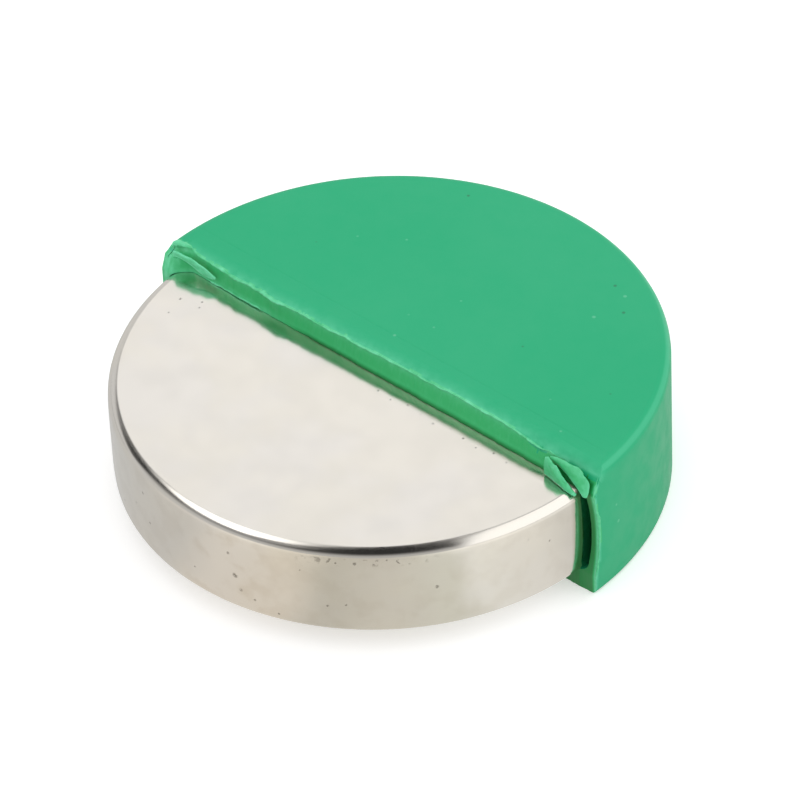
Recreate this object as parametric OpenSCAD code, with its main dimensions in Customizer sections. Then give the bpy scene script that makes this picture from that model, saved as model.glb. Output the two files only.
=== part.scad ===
// Disc magnet with a moulded plastic coat, cut open as a sample.
// The bare half of the nickel plated disc faces -Y and the coated half faces +Y.
// The origin lies on the axis of the disc, on the underside of the coat.

/* [Magnet] */
// Diameter of the magnet disc
magnet_d = 26; // [16:0.5:40]
// Thickness of the magnet disc
magnet_h = 5; // [3:0.1:10]
// Rounding that tumbling gives the edges of the disc
magnet_edge_r = 0.5; // [0.2:0.05:1]

/* [Coat] */
// Thickness of the coat under the magnet
floor_t = 1.1; // [0.8:0.05:2.5]
// Thickness of the coat on top of the magnet
roof_t = 1.3; // [1:0.05:2.5]
// Thickness of the coat round the magnet
side_t = 0.6; // [0.5:0.05:2]
// Rounding of the upper edge of the coat
coat_top_r = 0.5; // [0.2:0.05:0.8]
// Rounding of the lower edge of the coat
coat_base_r = 0.3; // [0.1:0.05:0.6]
// How far the outside of the coat sits off the disc's axis towards +X
coat_shift_x = 0.12; // [0:0.02:0.2]
// How far the outside of the coat sits off the disc's axis towards +Y
coat_shift_y = 0.2; // [0:0.02:0.3]
// Clearance between the disc and its pocket at the rim
pocket_gap = 0.02; // [0.01:0.01:0.1]
// Clearance between the disc and the roof, which the knife lifted a little
roof_gap = 0.05; // [0.02:0.01:0.15]

/* [Knife cut] */
// How far the cut lies in front of the disc's axis
cut_front = 0.35; // [0.1:0.05:2]
// Angle by which the cut through the roof leans back
cut_lean = 11; // [0:1:20]
// Width of the strip along the cut where the knife pressed the roof down
roll_w = 0.7; // [0.4:0.05:1.2]
// How far it pressed the roof down at the cut
roll_h = 0.14; // [0.05:0.01:0.25]
// Height of the waves that the knife left along the cut
cut_wave = 0.05; // [0:0.01:0.1]
// Spacing of the points along the wavy cut
cut_pitch = 0.3; // [0.2:0.05:0.6]
// How far the left end of the wall stands forward of the cut
left_step = 0.75; // [0.3:0.05:1.2]
// Length over which the cut swings forward to the left end
left_swing = 1.1; // [0.6:0.05:2]
// How far the slanted left corner drops below the top
left_drop = 0.85; // [0.2:0.05:1]
// How far the right end of the wall is cut back between floor and roof
right_recess = 0.25; // [0.1:0.05:0.5]

/* [Sprung wall end] */
// Width of the slit between the disc and the right end of the wall
slit_w = 0.2; // [0.1:0.02:0.4]
// Angle round the disc over which the slit closes
slit_angle = 20; // [10:1:40]
// How far the right end of the wall bows outwards
swell = 0.12; // [0.06:0.02:0.4]
// Angle round the coat over which the bow dies away
swell_angle = 16; // [10:1:30]

/* [Burrs] */
// Height of the lip that the knife raised along the top edge of the cut
lip_h = 0.09; // [0.04:0.01:0.2]
// Width of that lip
lip_w = 0.22; // [0.1:0.01:0.4]
// How far the lip at the right end of the wall stands out from the wall
end_lip = 0.2; // [0.1:0.02:0.3]
// Height of the burr on the left corner
burr_h = 0.26; // [0.1:0.02:0.4]
// Length of that burr
burr_l = 1.3; // [0.8:0.1:2]
// Thickness of the torn flaps and of the shaving
flap_t = 0.14; // [0.08:0.01:0.25]
// Length of the shaving that hangs at the left end of the cut
shaving_l = 2.4; // [1:0.1:4]
// Width of the shaving
shaving_w = 0.45; // [0.2:0.05:0.8]
// How far the shaving stands out from the cut
shaving_out = 0.25; // [0.1:0.05:0.5]
// Length of the torn flap at the right end of the cut
flap_l = 2.1; // [1:0.1:3]
// Height of the torn flap at its tip
flap_h = 0.95; // [0.4:0.05:1.2]
// How far the torn flap leans out over the disc
flap_lean = 0.5; // [0.2:0.05:1]
// Length of the top edge of the flap that hangs over the slit
hang_l = 1.8; // [1:0.1:2.5]
// How far that flap stands out from the cut
hang_out = 0.32; // [0.1:0.02:0.5]
// How far its tip hangs below the top of the disc
hang_drop = 0.3; // [0.1:0.05:1]

/* [Hidden] */
$fn = 96;

nickel = [0.85, 0.83, 0.80];
green = [0.22, 0.68, 0.47];

magnet_r = magnet_d / 2;
coat_r = magnet_r + side_t;
magnet_top = floor_t + magnet_h;
coat_h = magnet_top + roof_t;
pocket_r = magnet_r + pocket_gap;
clear = 1;
bite = 0.12;
rim_x = magnet_r - magnet_edge_r;
lip_z = coat_h - roll_h;
lip_back = (lip_z - magnet_top) * tan(cut_lean);

// Profile of a disc with rounded edges, to be turned about the axis
module disc_profile(r, h, top_r, base_r) {
    square([r - top_r, h]);
    square([r - base_r, h - top_r]);
    translate([0, base_r]) square([r, h - top_r - base_r]);
    translate([r - top_r, h - top_r]) circle(top_r, $fn = $fn / 2);
    translate([r - base_r, base_r]) circle(base_r, $fn = $fn / 2);
}

// Disc with rounded edges, standing on z
module round_disc(r, h, top_r, base_r, z = 0) {
    translate([0, 0, z]) rotate_extrude() intersection() {
        disc_profile(r, h, top_r, base_r);
        square([r + clear, h]);
    }
}

// Centre and radius of the circle that stands out by w at angle 0 from a circle
// of radius r, and meets that circle at the given angle
function bow_centre(r, w, angle) = (pow(r + w, 2) - r * r) / (2 * (r + w - r * cos(angle)));
function bow_radius(r, w, angle) = r + w - bow_centre(r, w, angle);

// Waves of the hand-held knife, in parts of their height
function knife_wave(x, phase) =
    (sin(61 * x + phase) + 0.6 * sin(137 * x + 2 * phase) + 0.4 * sin(293 * x + 3 * phase)) / 2;

// Smooth step from 0 to 1 while t runs from 0 to 1
function ease(t) = let (u = min(1, max(0, t))) u * u * (3 - 2 * u);

// Place of the cut along Y at a place along X
function cut_at(x, phase) =
    -cut_front + cut_wave * knife_wave(x, phase) - left_step * ease((left_swing - magnet_r - x) / left_swing);

// Plan of what the knife took away, in front of the wavy cut
module knife_plan(phase) {
    reach = coat_r + coat_shift_x + clear;
    front = coat_r + left_step + clear;
    steps = ceil(2 * reach / cut_pitch);
    line = [for (i = [0:steps]) let (x = -reach + 2 * reach * i / steps) [x, cut_at(x, phase)]];
    polygon(concat(line, [[reach, -front], [-reach, -front]]));
}

// What the knife took away, leaning back where it went through the roof
module knife_block() {
    middle = floor_t + magnet_h / 2;
    sink = (magnet_d + clear) / 2 * sin(cut_lean) + left_step;
    translate([0, 0, -clear]) linear_extrude(clear + middle) knife_plan(140);
    translate([0, 0, middle - bite]) linear_extrude(magnet_top - middle + bite) knife_plan(0);
    translate([0, -cut_front, magnet_top]) rotate([-cut_lean, 0, 0])
        translate([0, cut_front, -sink]) linear_extrude(sink + roof_t + clear) knife_plan(0);
}

// Round shoulder where the knife pressed the roof down along the cut
module rolled_edge() {
    r = (roll_w * roll_w + roll_h * roll_h) / (2 * roll_h);
    back = roll_w - cut_front + lip_back;
    long = 2 * (coat_r + clear);
    translate([left_swing - magnet_r, back, coat_h - r]) difference() {
        translate([0, -roll_w - clear, r - roll_h - clear / 2]) cube([long, roll_w + clear, clear]);
        translate([-clear, 0, 0]) rotate([0, 90, 0]) cylinder(h = long + 2 * clear, r = r);
    }
}

// Slanted face that takes the top off the left end of the wall
module left_slant() {
    slope = left_drop / left_step;
    run = left_step + clear;
    translate([-coat_r - clear, 0, 0]) rotate([90, 0, 90])
        linear_extrude(clear + side_t + left_swing) polygon([
            [-cut_front, coat_h], [-cut_front, coat_h + clear],
            [-cut_front - run, coat_h + clear], [-cut_front - run, coat_h - slope * run]
        ]);
}

// Hollow that the knife left in the right end of the wall, between floor and roof
module right_hollow() {
    steps = 16;
    low = floor_t;
    high = magnet_top;
    edge = [for (i = [0:steps]) let (t = i / steps)
        [-cut_front - cut_wave + (right_recess + cut_wave) * sin(180 * t), low + (high - low) * t]];
    translate([rim_x, 0, 0]) rotate([90, 0, 90]) linear_extrude(side_t + 2 * clear)
        polygon(concat(edge, [[-cut_front - clear, high], [-cut_front - clear, low]]));
}

// Slit between the disc and the sprung right end of the wall
module slit() {
    c = bow_centre(pocket_r, slit_w, slit_angle);
    r = bow_radius(pocket_r, slit_w, slit_angle);
    translate([c, -cut_front, floor_t]) cylinder(h = magnet_h, r = r);
}

// Barrel that bows the outside of the wall at its right end
module wall_swell() {
    c = bow_centre(coat_r, swell, swell_angle);
    r = bow_radius(coat_r, swell, swell_angle);
    span = coat_h - coat_top_r - coat_base_r;
    arch_r = (span * span / 4 + swell * swell) / (2 * swell);
    translate([c + coat_shift_x, -cut_front, coat_base_r]) rotate_extrude() intersection() {
        translate([r - arch_r, span / 2]) circle(arch_r, $fn = 4 * $fn);
        square([r, span]);
    }
}

// Closed skin over a row of rings with the same number of points
module skin(rings) {
    n = len(rings[0]);
    last = len(rings) - 1;
    side = [for (i = [0:last - 1], j = [0:n - 1]) let (a = i * n + j, b = i * n + (j + 1) % n)
        each [[a, b, b + n], [a, b + n, a + n]]];
    start = [for (j = [1:n - 2]) [0, j + 1, j]];
    end = [for (j = [1:n - 2]) [last * n, last * n + j, last * n + j + 1]];
    polyhedron([for (ring = rings) each ring], concat(side, start, end));
}

// Lip along the top edge of the cut, highest where the knife dragged at the left
module cut_lip() {
    x0 = -magnet_r + left_swing / 2;
    x1 = magnet_r - flap_l * 0.8;
    steps = ceil((x1 - x0) / cut_pitch);
    rings = [for (i = [0:steps]) let (
        t = i / steps,
        x = x0 + (x1 - x0) * t,
        y = cut_at(x, 0) + lip_back,
        drag = 1 + 0.9 * exp(-pow((x + 0.62 * magnet_r) / 1.2, 2)),
        end = min(1, 0.2 + 8 * t, 0.2 + 8 * (1 - t)),
        h = lip_h * end * drag * (0.75 + 0.25 * sin(431 * x)),
        w = lip_w * end * drag * (0.8 + 0.2 * sin(277 * x)))
        [[x, y + w / 2, lip_z - bite], [x, y - w / 4, lip_z - bite], [x, y - w / 2, lip_z - h / 2],
         [x, y - w / 3, lip_z + h / 2], [x, y, lip_z + h], [x, y + w / 3, lip_z + h / 2]]];
    skin(rings);
}

// Lip that the knife drew out along the outer edge of the right end of the wall
module wall_lip() {
    steps = 24;
    foot = coat_base_r;
    head = coat_h - coat_top_r;
    x0 = coat_shift_x + coat_r - lip_h;
    y = -cut_front;
    rings = [for (i = [0:steps]) let (
        t = i / steps,
        z = foot + (head - foot) * t,
        rough = 0.85 + 0.15 * sin(293 * z),
        out = lip_h + swell * sin(180 * t) + end_lip * rough * sin(180 * (0.1 + 0.9 * pow(t, 0.7))))
        [[x0 + out / 2, y + lip_w, z], [x0 + out, y + lip_w / 2, z], [x0 + out, y - lip_h / 2, z],
         [x0 - bite, y - lip_h / 2, z], [x0 - bite, y + lip_w, z]]];
    skin(rings);
}

// Burr that the knife raised on the left corner
module left_burr() {
    steps = 10;
    x0 = coat_shift_x - coat_r + coat_top_r / 4;
    rings = [for (i = [0:steps]) let (
        t = i / steps,
        x = x0 + burr_l * t,
        y = -cut_front + lip_w * t,
        h = burr_h * sin(180 * sqrt(t)) + lip_h / 4,
        w = lip_w * (0.7 + 0.6 * sin(180 * t)))
        [[x, y + w, coat_h - burr_h - bite], [x, y - w, coat_h - burr_h - bite], [x, y - w * 0.6, coat_h - bite + h / 2],
         [x, y, coat_h - bite * (1 - t) + h], [x, y + w * 0.6, coat_h - bite + h / 2]]];
    skin(rings);
}

// Point on a curve with four control points
function bend_at(p, t) =
    pow(1 - t, 3) * p[0] + 3 * pow(1 - t, 2) * t * p[1] + 3 * (1 - t) * t * t * p[2] + pow(t, 3) * p[3];

// Thin torn strip between two curved edges, bowed by bow and closed all round
module torn_strip(edge_a, edge_b, thick, bow, steps = 14) {
    rings = [for (i = [0:steps]) let (
        t = i / steps,
        a = bend_at(edge_a, t),
        b = bend_at(edge_b, t),
        dt = 0.02,
        along = bend_at(edge_a, t + dt) + bend_at(edge_b, t + dt) - bend_at(edge_a, t - dt) - bend_at(edge_b, t - dt),
        side = cross(along, b - a),
        n = side / norm(side),
        thin = thick * (0.35 + 0.65 * sin(180 * (0.12 + 0.76 * t))),
        arch = bow * sin(180 * t))
        [a, a + (b - a) / 3 + n * (arch + thin / 2), a + (b - a) * 2 / 3 + n * (arch + thin / 2),
         b, a + (b - a) * 2 / 3 + n * (arch - thin / 2), a + (b - a) / 3 + n * (arch - thin / 2)]];
    skin(rings);
}

// Shaving that the knife left hanging from the left end of the cut
module left_shaving() {
    x0 = -magnet_r + flap_t;
    x1 = x0 + shaving_l;
    y0 = cut_at(x0, 0) + bite;
    y1 = cut_at(x1, 0);
    top = coat_h - roof_t / 4;
    low = top - shaving_w;
    torn_strip(
        [[x0, y0, top], [x0 + shaving_l / 3, y0 + left_step / 3, top - shaving_w / 5],
         [x1 - shaving_l / 3, y1 - shaving_out, top - shaving_w / 4], [x1 + flap_t, y1 - shaving_out, top - shaving_w / 5]],
        [[x0, y0, low - shaving_w / 5], [x0 + shaving_l / 3, y0 + left_step / 2, low],
         [x1 - shaving_l / 3, y1 + bite, low], [x1, y1 + 2 * bite, low + shaving_w / 5]],
        flap_t, flap_t / 4);
}

// Torn flap at the right end: it stands on the disc, leans out over it and tapers to the rim
module right_flap() {
    x1 = magnet_r;
    x0 = x1 - flap_l;
    y0 = cut_at(x0, 0);
    low = magnet_top + flap_t / 3;
    rest_y = y0 - flap_lean;
    torn_strip(
        [[x0 + flap_t, y0 + bite, low + flap_h], [x0 + flap_l * 0.3, y0 - flap_lean / 3, low + flap_h * 0.9],
         [x1 - flap_l * 0.3, y0 - flap_lean * 0.8, low + flap_h * 0.4], [x1 - flap_t, rest_y, low + flap_t / 2]],
        [[x0, y0 + bite, low], [x0 + flap_l * 0.3, y0 - flap_lean * 0.8, low],
         [x1 - flap_l * 0.3, rest_y - flap_t, low], [x1, rest_y - flap_t / 2, low]],
        flap_t, flap_t / 3);
}

// Flap that hangs from the corner of the roof in front of the slit
module hanging_flap() {
    x1 = coat_r + coat_shift_x - coat_top_r * 0.8;
    x0 = x1 - hang_l;
    y = -cut_front;
    top = lip_z - flap_t / 2;
    tip_z = magnet_top - hang_drop;
    torn_strip(
        [[x0, y + 2 * bite, top], [x0 + hang_l * 0.2, y - hang_out / 2, top - roof_t * 0.3],
         [x0 + hang_l * 0.5, y - hang_out, magnet_top + roof_t * 0.3], [magnet_r, y - hang_out, magnet_top + flap_t / 2]],
        [[x1, y + 2 * bite, top], [x1 + flap_t / 2, y - hang_out / 4, top - roof_t * 0.3],
         [x1 + flap_t / 2, y - hang_out / 2, magnet_top], [x1, y - hang_out / 2, tip_z]],
        flap_t, -flap_t / 4);
}

// The disc itself
module magnet_disc() {
    color(nickel) round_disc(magnet_r, magnet_h, magnet_edge_r, magnet_edge_r, floor_t);
}

// The half of the coat that is left, with its cut and its burrs
module plastic_coat() {
    color(green) {
        difference() {
            union() {
                translate([coat_shift_x, coat_shift_y, 0]) round_disc(coat_r, coat_h, coat_top_r, coat_base_r);
                wall_swell();
            }
            round_disc(pocket_r, magnet_h + roof_gap, magnet_edge_r, magnet_edge_r, floor_t);
            slit();
            knife_block();
            rolled_edge();
            left_slant();
            right_hollow();
        }
        cut_lip();
        wall_lip();
        left_burr();
        left_shaving();
        right_flap();
        hanging_flap();
    }
}

magnet_disc();
plastic_coat();
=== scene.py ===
"""Disc magnet in a moulded plastic coat that was cut open across the middle.

The plated disc is half bare and half inside the green coat. Each piece is modelled in millimetres
in the frame's own axes and brought to metres when it is finished.
"""

from __future__ import annotations

import logging
import math
from collections.abc import Callable, Iterator
from contextlib import contextmanager
from dataclasses import dataclass, field
from enum import Enum

import bmesh
import bpy
from mathutils import Matrix, Vector, noise


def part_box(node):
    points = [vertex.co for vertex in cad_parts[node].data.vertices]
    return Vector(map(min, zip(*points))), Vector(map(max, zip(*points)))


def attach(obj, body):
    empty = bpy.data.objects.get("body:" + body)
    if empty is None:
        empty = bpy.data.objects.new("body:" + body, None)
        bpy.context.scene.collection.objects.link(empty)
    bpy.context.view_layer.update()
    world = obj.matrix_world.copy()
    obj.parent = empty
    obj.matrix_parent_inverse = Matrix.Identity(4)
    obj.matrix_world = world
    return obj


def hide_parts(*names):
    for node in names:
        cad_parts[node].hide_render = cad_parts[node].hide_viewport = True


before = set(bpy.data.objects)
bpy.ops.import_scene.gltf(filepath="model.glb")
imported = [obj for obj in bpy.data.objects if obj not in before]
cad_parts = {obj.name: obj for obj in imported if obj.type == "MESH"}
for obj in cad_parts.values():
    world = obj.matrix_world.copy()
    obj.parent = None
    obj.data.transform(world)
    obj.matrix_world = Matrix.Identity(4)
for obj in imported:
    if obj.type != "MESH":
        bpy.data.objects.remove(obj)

LOG = logging.getLogger("disc_magnet")
MM = 0.001
BODY = "root"
PHOTO_SIDE = 800
SENSOR_MM = 36.0
# Point attribute of the plastic pieces: how far each point is whitened, from 0 to 1, and below 0 how much
# painted shade it gets.
WHITENING_AND_SHADE = "whitened"

Pair = tuple[float, float]
Window = tuple[Pair, Pair]
Trio = tuple[float, float, float]
Place = tuple[float, float, float]
Colour = tuple[float, float, float]


class Slot(Enum):
    """The record's material slots."""

    PLATING = "nickel_plating"
    PLASTIC = "green_plastic"


def ease(t: float) -> float:
    """Smooth step from 0 to 1 while t runs from 0 to 1."""
    u = min(1.0, max(0.0, t))
    return u * u * (3.0 - 2.0 * u)


def bell(x: float, centre: float, width: float) -> float:
    """Bell curve of height 1."""
    return math.exp(-(((x - centre) / width) ** 2))


def rough(x: float, y: float, z: float) -> float:
    """Smooth noise about 0 that repeats nowhere on the part."""
    return noise.noise(Vector((x, y, z)))


class Bench:
    """Hand tools that work on one mesh object at a time."""

    @staticmethod
    def clear() -> None:
        """Leave edit mode and deselect every object."""
        if bpy.context.object and bpy.context.object.mode != "OBJECT":
            bpy.ops.object.mode_set(mode="OBJECT")
        bpy.ops.object.select_all(action="DESELECT")

    @staticmethod
    def pick(obj: bpy.types.Object) -> None:
        """Make obj the only selected and the active object.

        Args:
            obj: The object.
        """
        Bench.clear()
        obj.select_set(True)
        bpy.context.view_layer.objects.active = obj

    @staticmethod
    def named(name: str) -> bpy.types.Object:
        """Name the primitive that was just added, and its mesh.

        Args:
            name: New name of the object.

        Returns:
            The object.
        """
        obj = bpy.context.object
        obj.name = name
        obj.data.name = name
        return obj

    @staticmethod
    @contextmanager
    def editing(obj: bpy.types.Object) -> Iterator[None]:
        """Open obj in edit mode with nothing selected, and close it afterwards.

        Args:
            obj: The mesh object to edit.

        Yields:
            Nothing, while obj is open.
        """
        Bench.pick(obj)
        bpy.ops.object.mode_set(mode="EDIT")
        bpy.ops.mesh.select_mode(type="EDGE")
        bpy.ops.mesh.select_all(action="DESELECT")
        yield
        bpy.ops.object.mode_set(mode="OBJECT")

    @staticmethod
    def select_edges(obj: bpy.types.Object, keep: Callable[[Vector, Vector], bool]) -> None:
        """Select the edges whose two ends pass a test.

        Args:
            obj: Object in edit mode.
            keep: Takes both ends of an edge and says whether to select it.
        """
        mesh = bmesh.from_edit_mesh(obj.data)
        for edge in [edge for edge in mesh.edges if keep(edge.verts[0].co, edge.verts[1].co)]:
            edge.select_set(True)
        bmesh.update_edit_mesh(obj.data)

    @staticmethod
    def select_faces(obj: bpy.types.Object, keep: Callable[[Vector], bool]) -> None:
        """Select the faces whose normal passes a test.

        Args:
            obj: Object in edit mode.
            keep: Takes a face's normal and says whether to select it.
        """
        mesh = bmesh.from_edit_mesh(obj.data)
        for face in [face for face in mesh.faces if keep(face.normal)]:
            face.select_set(True)
        bmesh.update_edit_mesh(obj.data)

    @staticmethod
    def move_points(obj: bpy.types.Object, place: Callable[[Vector], Vector]) -> None:
        """Move every vertex of obj.

        Args:
            obj: Object in object mode.
            place: Takes a point and gives its new place.
        """
        for vertex in obj.data.vertices:
            vertex.co = place(vertex.co.copy())
        obj.data.update()

    @staticmethod
    def face_out(obj: bpy.types.Object) -> None:
        """Turn every face of a closed mesh outwards.

        Args:
            obj: The mesh object.
        """
        with Bench.editing(obj):
            bpy.ops.mesh.select_all(action="SELECT")
            bpy.ops.mesh.normals_make_consistent(inside=False)

    @staticmethod
    def pull_block(obj: bpy.types.Object, pull: Place) -> None:
        """Pull a sheet into a closed block.

        Args:
            obj: The sheet.
            pull: How far and which way it is pulled.
        """
        with Bench.editing(obj):
            bpy.ops.mesh.select_all(action="SELECT")
            bpy.ops.mesh.extrude_region_move(TRANSFORM_OT_translate={"value": pull})
        Bench.face_out(obj)

    @staticmethod
    def whiten_and_shade(obj: bpy.types.Object, levels: list[float]) -> None:
        """Note on the mesh how far each of its points is whitened, and below 0 how much painted shade it
        gets.

        Args:
            obj: The piece.
            levels: One level for each vertex, from 0 to 1, or below 0 for painted shade that darkens the
                green.
        """
        obj.data.attributes.new(WHITENING_AND_SHADE, "FLOAT", "POINT").data.foreach_set("value", levels)

    @staticmethod
    def cut_away(obj: bpy.types.Object, tool: bpy.types.Object) -> None:
        """Cut what lies inside tool out of obj, and throw the tool away.

        Args:
            obj: The piece.
            tool: A closed mesh.
        """
        Bench.pick(obj)
        modifier = obj.modifiers.new("Cut", "BOOLEAN")
        modifier.operation = "DIFFERENCE"
        modifier.solver = "MANIFOLD"
        modifier.object = tool
        bpy.ops.object.modifier_apply(modifier=modifier.name)
        bpy.data.objects.remove(tool)

    @staticmethod
    def finish(obj: bpy.types.Object, smooth_deg: float) -> None:
        """Bring a piece from millimetres to metres and shade it.

        Args:
            obj: The finished piece, at the origin.
            smooth_deg: Edges flatter than this are shaded smooth.
        """
        Bench.pick(obj)
        obj.data.transform(Matrix.Scale(MM, 4))
        bpy.ops.object.shade_smooth_by_angle(angle=math.radians(smooth_deg))
        obj.data.update()
        Bench.clear()


class Nodes:
    """A node tree that is being built."""

    def __init__(self, tree: bpy.types.NodeTree) -> None:
        """Take a tree to build in.

        Args:
            tree: The node tree.
        """
        self.tree = tree

    def add(self, kind: str, **settings: object) -> bpy.types.Node:
        """Add a node and set its properties.

        Args:
            kind: Blender's name of the node type.
            **settings: Properties of the node.

        Returns:
            The node.
        """
        node = self.tree.nodes.new(kind)
        for key, value in settings.items():
            setattr(node, key, value)
        return node

    def link(self, source: bpy.types.NodeSocket, target: bpy.types.NodeSocket) -> None:
        """Join two sockets."""
        self.tree.links.new(source, target)

    def put(self, target: bpy.types.NodeSocket, value: object) -> None:
        """Feed a node's input.

        Args:
            target: The input.
            value: Socket to link to it, or the number or colour that it is set to.
        """
        if isinstance(value, bpy.types.NodeSocket):
            self.link(value, target)
        elif isinstance(value, tuple) and len(value) == 3 and target.type == "RGBA":
            target.default_value = (*value, 1.0)
        else:
            target.default_value = value

    def math(self, operation: str, a: object, b: object = 0.0, clamp: bool = False) -> bpy.types.NodeSocket:
        """Arithmetic on two numbers or sockets.

        Args:
            operation: Blender's name of the operation.
            a: First operand.
            b: Second operand.
            clamp: Whether to keep the result between 0 and 1.

        Returns:
            The result's socket.
        """
        node = self.add("ShaderNodeMath", operation=operation, use_clamp=clamp)
        self.put(node.inputs[0], a)
        self.put(node.inputs[1], b)
        return node.outputs[0]

    def times(self, a: object, b: object, clamp: bool = False) -> bpy.types.NodeSocket:
        """Product of two numbers or sockets."""
        return self.math("MULTIPLY", a, b, clamp)

    def plus(self, a: object, b: object, clamp: bool = False) -> bpy.types.NodeSocket:
        """Sum of two numbers or sockets."""
        return self.math("ADD", a, b, clamp)

    def rest(self, a: object) -> bpy.types.NodeSocket:
        """What is left of 1 without a number or socket."""
        return self.math("SUBTRACT", 1.0, a)

    def length(self, a: object, b: object) -> bpy.types.NodeSocket:
        """Distance whose two legs are a and b."""
        return self.math("SQRT", self.plus(self.times(a, a), self.times(b, b)))

    def dot(self, vector: bpy.types.NodeSocket, aim: Vector) -> bpy.types.NodeSocket:
        """How far a vector reaches along a direction.

        Args:
            vector: The vector's socket.
            aim: The direction.

        Returns:
            The dot product's socket.
        """
        node = self.add("ShaderNodeVectorMath", operation="DOT_PRODUCT")
        self.link(vector, node.inputs[0])
        node.inputs[1].default_value = aim
        return node.outputs["Value"]

    def stretch(
        self, value: object, low: float, high: float, to_low: float = 0.0, to_high: float = 1.0
    ) -> bpy.types.NodeSocket:
        """Map a value smoothly from one span to another.

        Args:
            value: The value.
            low: Where the span starts.
            high: Where the span ends.
            to_low: Result at low.
            to_high: Result at high.

        Returns:
            The mapped value's socket.
        """
        node = self.add("ShaderNodeMapRange", interpolation_type="SMOOTHSTEP")
        for name, number in zip(("From Min", "From Max", "To Min", "To Max"), (low, high, to_low, to_high)):
            node.inputs[name].default_value = number
        self.put(node.inputs["Value"], value)
        return node.outputs["Result"]

    def window(self, value: object, rise: Pair, fall: Pair) -> bpy.types.NodeSocket:
        """Let a value through between two places.

        Args:
            value: The value.
            rise: From where to where the window opens.
            fall: Where it is closed again, and where it begins to close.

        Returns:
            1 inside the window and 0 outside.
        """
        return self.times(self.stretch(value, *rise), self.stretch(value, *fall))


class Shader(Nodes):
    """A node material that is being built."""

    def __init__(self, name: str) -> None:
        """Start a material with a plain Principled surface.

        Args:
            name: Name of the material.
        """
        self.material = bpy.data.materials.new(name)
        self.material.use_nodes = True
        super().__init__(self.material.node_tree)
        self.surface = self.tree.nodes["Principled BSDF"]
        self.place = self.add("ShaderNodeTexCoord").outputs["Object"]

    def feed(self, **inputs: object) -> None:
        """Feed inputs of the surface, each named with _ for a blank."""
        for name, value in inputs.items():
            self.put(self.surface.inputs[name.replace("_", " ")], value)

    def stretched_place(self, scale: Trio) -> bpy.types.NodeSocket:
        """Object coordinates with each axis scaled.

        Args:
            scale: Factor for each axis.

        Returns:
            The scaled coordinates' socket.
        """
        node = self.add("ShaderNodeMapping")
        node.inputs["Scale"].default_value = scale
        self.link(self.place, node.inputs["Vector"])
        return node.outputs["Vector"]

    def grain(self, per_mm: float, detail: float = 2.0, where: object = None) -> bpy.types.NodeSocket:
        """Noise of a given fineness.

        Args:
            per_mm: How many grains go on a millimetre.
            detail: Octaves of finer noise.
            where: Coordinates, or None for Object coordinates.

        Returns:
            The noise's socket, about 0.5 on average.
        """
        node = self.add("ShaderNodeTexNoise")
        node.inputs["Scale"].default_value = per_mm / MM
        node.inputs["Detail"].default_value = detail
        self.link(where or self.place, node.inputs["Vector"])
        return node.outputs["Fac"]

    def specks(self, per_mm: float, size: float, amount: float) -> bpy.types.NodeSocket:
        """Small round specks, one in each cell of a loose pattern.

        Args:
            per_mm: How many cells go on a millimetre.
            size: Size of a speck as a share of a cell.
            amount: How strong the specks are.

        Returns:
            The specks' socket: amount inside a speck and 0 outside.
        """
        cells = self.add("ShaderNodeTexVoronoi", feature="F1")
        cells.inputs["Scale"].default_value = per_mm / MM
        cells.inputs["Randomness"].default_value = 1.0
        self.link(self.place, cells.inputs["Vector"])
        return self.stretch(cells.outputs["Distance"], size, size * 0.5, 0.0, amount)

    def spot(self, place: Place, radius: float) -> bpy.types.NodeSocket:
        """A soft round spot.

        Args:
            place: Its centre, in millimetres.
            radius: Its radius, in millimetres.

        Returns:
            The spot's socket: 1 inside and 0 outside.
        """
        gap = self.add("ShaderNodeVectorMath", operation="DISTANCE")
        self.link(self.place, gap.inputs[0])
        gap.inputs[1].default_value = Vector(place) * MM
        return self.stretch(gap.outputs["Value"], radius * MM * 1.2, radius * MM * 0.4)

    def whitened(self) -> bpy.types.NodeSocket:
        """How far each point of the piece is whitened, and below 0 how much painted shade it has."""
        return self.add("ShaderNodeAttribute", attribute_name=WHITENING_AND_SHADE).outputs["Fac"]

    def blend(self, share: object, first: object, second: object) -> bpy.types.NodeSocket:
        """Mix two colours.

        Args:
            share: 0 for the first colour, 1 for the second.
            first: Colour or socket.
            second: Colour or socket.

        Returns:
            The mixed colour's socket.
        """
        node = self.add("ShaderNodeMix", data_type="RGBA")
        # The sockets for colours are the node's inputs 6 and 7 and its output 2.
        self.put(node.inputs["Factor"], share)
        self.put(node.inputs[6], first)
        self.put(node.inputs[7], second)
        return node.outputs[2]

    def bump(self, height: object, depth_mm: float) -> None:
        """Give the surface relief.

        Args:
            height: Height from 0 to 1.
            depth_mm: Depth of the relief in millimetres.
        """
        node = self.add("ShaderNodeBump")
        node.inputs["Distance"].default_value = depth_mm * MM
        node.inputs["Strength"].default_value = 1.0
        self.put(node.inputs["Height"], height)
        self.feed(Normal=node.outputs["Normal"])

    def axis(self, letter: str) -> bpy.types.NodeSocket:
        """One of the Object coordinates, in millimetres.

        Args:
            letter: X, Y or Z.

        Returns:
            The coordinate's socket.
        """
        split = self.add("ShaderNodeSeparateXYZ")
        self.link(self.place, split.inputs[0])
        return self.times(split.outputs[letter], 1.0 / MM)


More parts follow.
